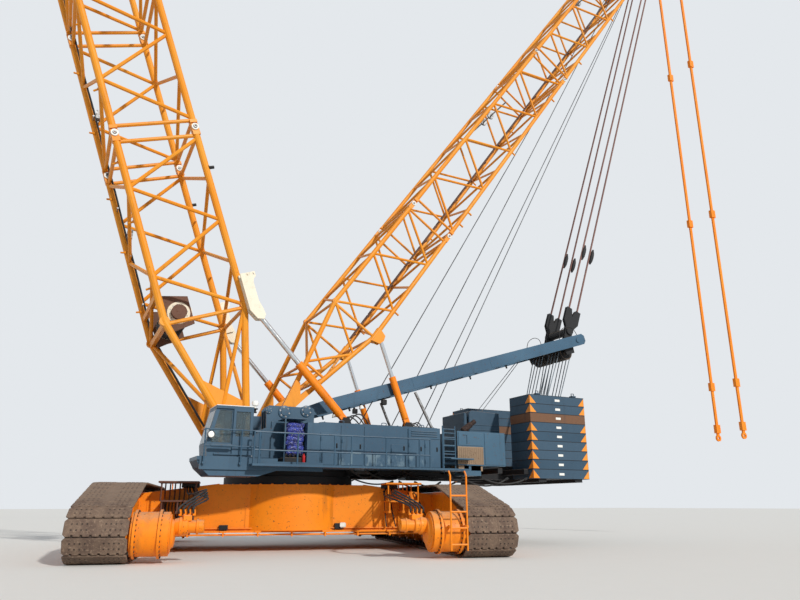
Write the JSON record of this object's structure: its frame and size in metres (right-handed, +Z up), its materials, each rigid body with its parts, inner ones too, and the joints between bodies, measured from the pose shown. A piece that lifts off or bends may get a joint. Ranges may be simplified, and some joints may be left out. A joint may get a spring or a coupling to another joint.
{
  "type": "crawler crane with superlift mast, 1:2 scale model",
  "caption": "Lattice-boom crane on wide tracks with a slewing house, rear superlift mast, A-frame, counterweight stacks, stop cylinders, stays and hook block.",
  "frame": {"origin": "on the slewing axis at ground level", "axes": "boom and cab towards -X, counterweight towards +X, +Y to the machine's right side, +Z up"},
  "size_m": [23.0466, 7.8124, 27.0338],
  "materials": {
    "undercarriage_paint": "satin",
    "boom_paint": "satin",
    "house_paint": "satin",
    "light_paint": "satin",
    "weight_paint": "matt",
    "black_steel": "matt",
    "track_steel": "dusty",
    "rope_steel": "worn",
    "rod_chrome": "polished",
    "cream_paint": "satin",
    "red_paint": "satin"
  },
  "bodies": {
    "undercarriage": {"car_body": "undercarriage_paint", "slew_ring": "black_steel", "side_frame_left": "undercarriage_paint", "side_frame_right": "undercarriage_paint", "track_left": "track_steel", "track_right": "track_steel", "drives_left": "undercarriage_paint", "drives_right": "undercarriage_paint", "landings": "black_steel"},
    "superstructure": {"turntable": "house_paint", "foot_brackets": "house_paint", "house_left": "house_paint", "house_right": "house_paint", "power_pack": "light_paint", "rear_frame": "black_steel", "counterweight_left": "weight_paint", "counterweight_right": "weight_paint", "cab": "house_paint", "cab_platform": "black_steel", "walkways": "black_steel", "deck_winches": "rope_steel"},
    "cab_door": {"cab_door": "house_paint"},
    "boom": {"boom_foot": "boom_paint", "boom_insert_1": "boom_paint", "boom_insert_2": "boom_paint", "boom_insert_3": "boom_paint", "boom_head": "boom_paint", "boom_winch": "cream_paint", "boom_stop_heads": "cream_paint"},
    "mast": {"mast_foot": "boom_paint", "mast_insert_1": "boom_paint", "mast_insert_2": "boom_paint", "mast_head": "boom_paint"},
    "aframe": {"a_frame": "house_paint", "tip_sheaves": "black_steel"},
    "pendants": {"pendant_yoke": "black_steel", "mast_pendants": "red_paint"},
    "stay_bars": {"stay_bars": "undercarriage_paint"},
    "main_stays": {"main_stays": "boom_paint"},
    "hook_block": {"hook_block": "undercarriage_paint"},
    "boom_stop_barrel_left": {"boom_stop_barrel_left": "undercarriage_paint"},
    "boom_stop_rod_left": {"boom_stop_rod_left": "rod_chrome"},
    "mast_stop_barrel_left": {"mast_stop_barrel_left": "undercarriage_paint"},
    "mast_stop_rod_left": {"mast_stop_rod_left": "rod_chrome"},
    "boom_stop_barrel_right": {"boom_stop_barrel_right": "undercarriage_paint"},
    "boom_stop_rod_right": {"boom_stop_rod_right": "rod_chrome"},
    "mast_stop_barrel_right": {"mast_stop_barrel_right": "undercarriage_paint"},
    "mast_stop_rod_right": {"mast_stop_rod_right": "rod_chrome"}
  },
  "joints": [
    {"name": "slew", "type": "hinge", "parent": "undercarriage", "child": "superstructure", "pos_m": [0, 0, 1.2], "axis": [0, 0, 1], "continuous": true},
    {"name": "boom_luff", "type": "hinge", "parent": "superstructure", "child": "boom", "pos_m": [-1.02, 0, 1.455], "axis": [0, 1, 0], "range_deg": [-25.6, 11.4]},
    {"name": "mast_luff", "type": "hinge", "parent": "superstructure", "child": "mast", "pos_m": [-0.42, 0, 2.27], "axis": [0, -1, 0], "range_deg": [-4, 10]},
    {"name": "aframe_luff", "type": "hinge", "parent": "superstructure", "child": "aframe", "pos_m": [-0.03, 0, 2.305], "axis": [0, -1, 0], "range_deg": [-4.29, 10.7]},
    {"name": "pendant_swing", "type": "hinge", "parent": "aframe", "child": "pendants", "pos_m": [6.3478, 0, 4.29146], "axis": [0, -1, 0], "range_deg": [-0.78, 0.33]},
    {"name": "stay_bar_swing", "type": "hinge", "parent": "mast", "child": "stay_bars", "pos_m": [11.90428, 0, 18.63531], "axis": [0, -1, 0], "range_deg": [-10.02, 4.02]},
    {"name": "main_stay_swing", "type": "hinge", "parent": "boom", "child": "main_stays", "pos_m": [-9.62234, 0, 26.78585], "axis": [0, 1, 0], "range_deg": [-3.33, 7.44]},
    {"name": "hook_swing", "type": "hinge", "parent": "boom", "child": "hook_block", "pos_m": [-10.62216, 0, 26.43376], "axis": [0, 1, 0], "range_deg": [-11.42, 25.62]},
    {"name": "cab_door_slide", "type": "slide", "parent": "superstructure", "child": "cab_door", "axis": [-1, 0, 0], "range_m": [0, 0.27]},
    {"name": "boom_stop_tilt_left", "type": "hinge", "parent": "superstructure", "child": "boom_stop_barrel_left", "pos_m": [0.67, -1.04, 2.17], "axis": [0, 1, 0], "range_deg": [-17.86, 7.98]},
    {"name": "boom_stop_stroke_left", "type": "slide", "parent": "boom_stop_barrel_left", "child": "boom_stop_rod_left", "axis": [-0.6881, 0, 0.7256], "range_m": [-0.3294, 0.7392]},
    {"name": "mast_stop_tilt_left", "type": "hinge", "parent": "superstructure", "child": "mast_stop_barrel_left", "pos_m": [2, -0.862, 2.17], "axis": [0, -1, 0], "range_deg": [-1.9, 4.68]},
    {"name": "mast_stop_stroke_left", "type": "slide", "parent": "mast_stop_barrel_left", "child": "mast_stop_rod_left", "axis": [-0.3401, 0, 0.9404], "range_m": [-0.1553, 0.3876]},
    {"name": "boom_stop_tilt_right", "type": "hinge", "parent": "superstructure", "child": "boom_stop_barrel_right", "pos_m": [0.67, 1.04, 2.17], "axis": [0, 1, 0], "range_deg": [-17.86, 7.98]},
    {"name": "boom_stop_stroke_right", "type": "slide", "parent": "boom_stop_barrel_right", "child": "boom_stop_rod_right", "axis": [-0.6881, 0, 0.7256], "range_m": [-0.3294, 0.7392]},
    {"name": "mast_stop_tilt_right", "type": "hinge", "parent": "superstructure", "child": "mast_stop_barrel_right", "pos_m": [2, 0.862, 2.17], "axis": [0, -1, 0], "range_deg": [-1.9, 4.68]},
    {"name": "mast_stop_stroke_right", "type": "slide", "parent": "mast_stop_barrel_right", "child": "mast_stop_rod_right", "axis": [-0.3401, 0, 0.9404], "range_m": [-0.1553, 0.3876]}
  ],
  "couplings": [
    {"joint": "aframe_luff", "follows": "mast_luff", "ratio": 1.0681},
    {"joint": "pendant_swing", "follows": "mast_luff", "ratio": -0.0763},
    {"joint": "stay_bar_swing", "follows": "mast_luff", "ratio": -1},
    {"joint": "main_stay_swing", "follows": "boom_luff", "ratio": -0.29},
    {"joint": "hook_swing", "follows": "boom_luff", "ratio": -1},
    {"joint": "boom_stop_tilt_left", "follows": "boom_luff", "ratio": 0.6956},
    {"joint": "boom_stop_stroke_left", "follows": "boom_luff", "m_per_rad": -1.6532},
    {"joint": "mast_stop_tilt_left", "follows": "mast_luff", "ratio": 0.4633},
    {"joint": "mast_stop_stroke_left", "follows": "mast_luff", "m_per_rad": 2.218},
    {"joint": "boom_stop_tilt_right", "follows": "boom_luff", "ratio": 0.6956},
    {"joint": "boom_stop_stroke_right", "follows": "boom_luff", "m_per_rad": -1.6532},
    {"joint": "mast_stop_tilt_right", "follows": "mast_luff", "ratio": 0.4633},
    {"joint": "mast_stop_stroke_right", "follows": "mast_luff", "m_per_rad": 2.218}
  ]
}
